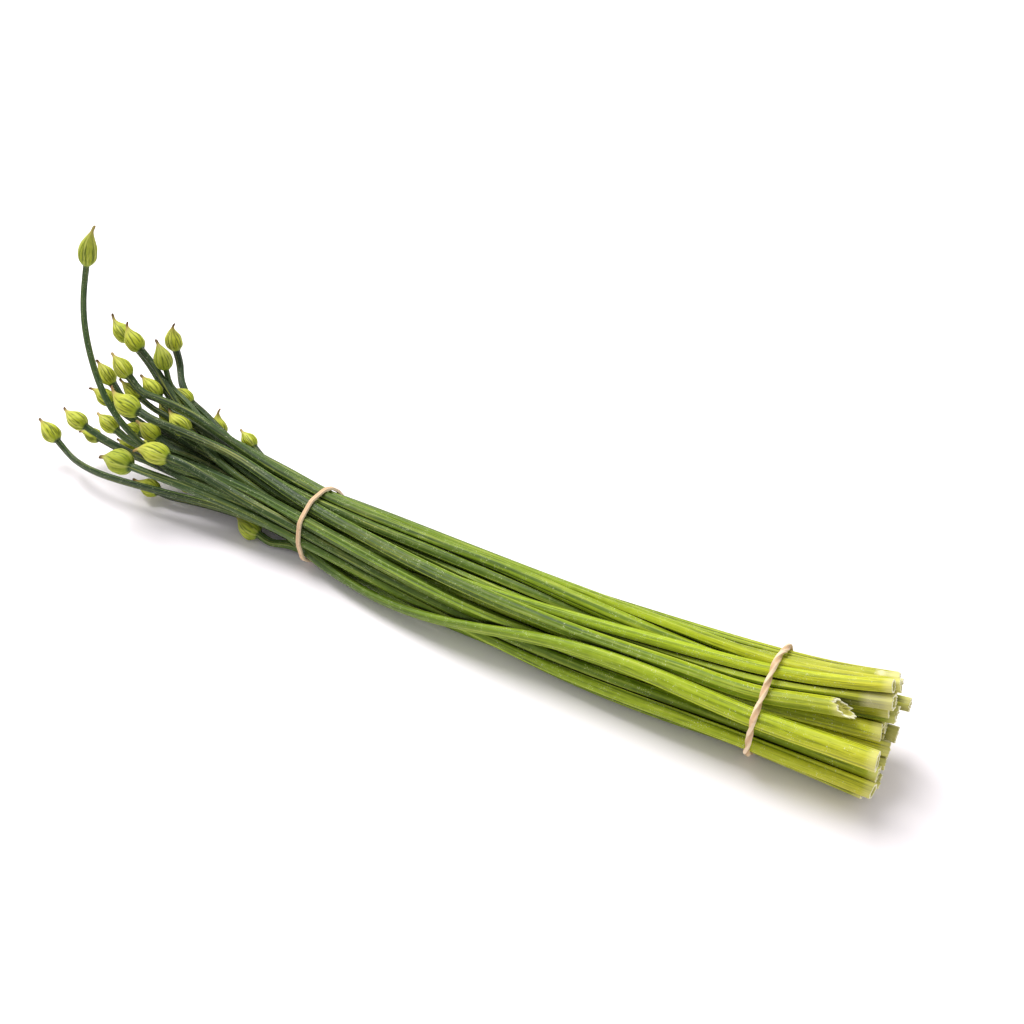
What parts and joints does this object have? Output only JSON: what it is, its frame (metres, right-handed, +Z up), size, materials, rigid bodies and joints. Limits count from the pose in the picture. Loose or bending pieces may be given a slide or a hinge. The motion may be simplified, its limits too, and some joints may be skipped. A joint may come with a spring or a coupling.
{
  "type": "bunch of flowering chives",
  "caption": "Bunch of flowering chive scapes with closed yellow-green buds, cut ends pale, held by two tan rubber bands and lying on a table",
  "frame": {"origin": "on the table, under the middle of the bunch's bounding box", "axes": "+X from the buds towards the cut ends, along the bunch; +Z up from the table; +Y across the bunch"},
  "size_m": [0.3344, 0.0576, 0.0935],
  "materials": {
    "chive": "waxy green scape, pale yellow-green at its cut end, dark blue-green below its papery yellow-green bud",
    "rubber_band": "matt natural tan rubber"
  },
  "bodies": {
    "root": {"chive_01": "chive", "chive_02": "chive", "chive_03": "chive", "chive_04": "chive", "chive_05": "chive", "chive_06": "chive", "chive_07": "chive", "chive_08": "chive", "chive_09": "chive", "chive_10": "chive", "chive_11": "chive", "chive_12": "chive", "chive_13": "chive", "chive_14": "chive", "chive_15": "chive", "chive_16": "chive", "chive_17": "chive", "chive_18": "chive", "chive_19": "chive", "chive_20": "chive", "chive_21": "chive", "chive_22": "chive", "chive_23": "chive", "chive_24": "chive", "chive_25": "chive", "chive_26": "chive", "chive_27": "chive", "chive_28": "chive", "chive_29": "chive", "chive_30": "chive", "chive_31": "chive", "chive_32": "chive", "chive_33": "chive", "chive_34": "chive", "chive_35": "chive", "chive_36": "chive", "chive_37": "chive", "chive_38": "chive", "lower_band": "rubber_band", "upper_band": "rubber_band"}
  },
  "joints": []
}
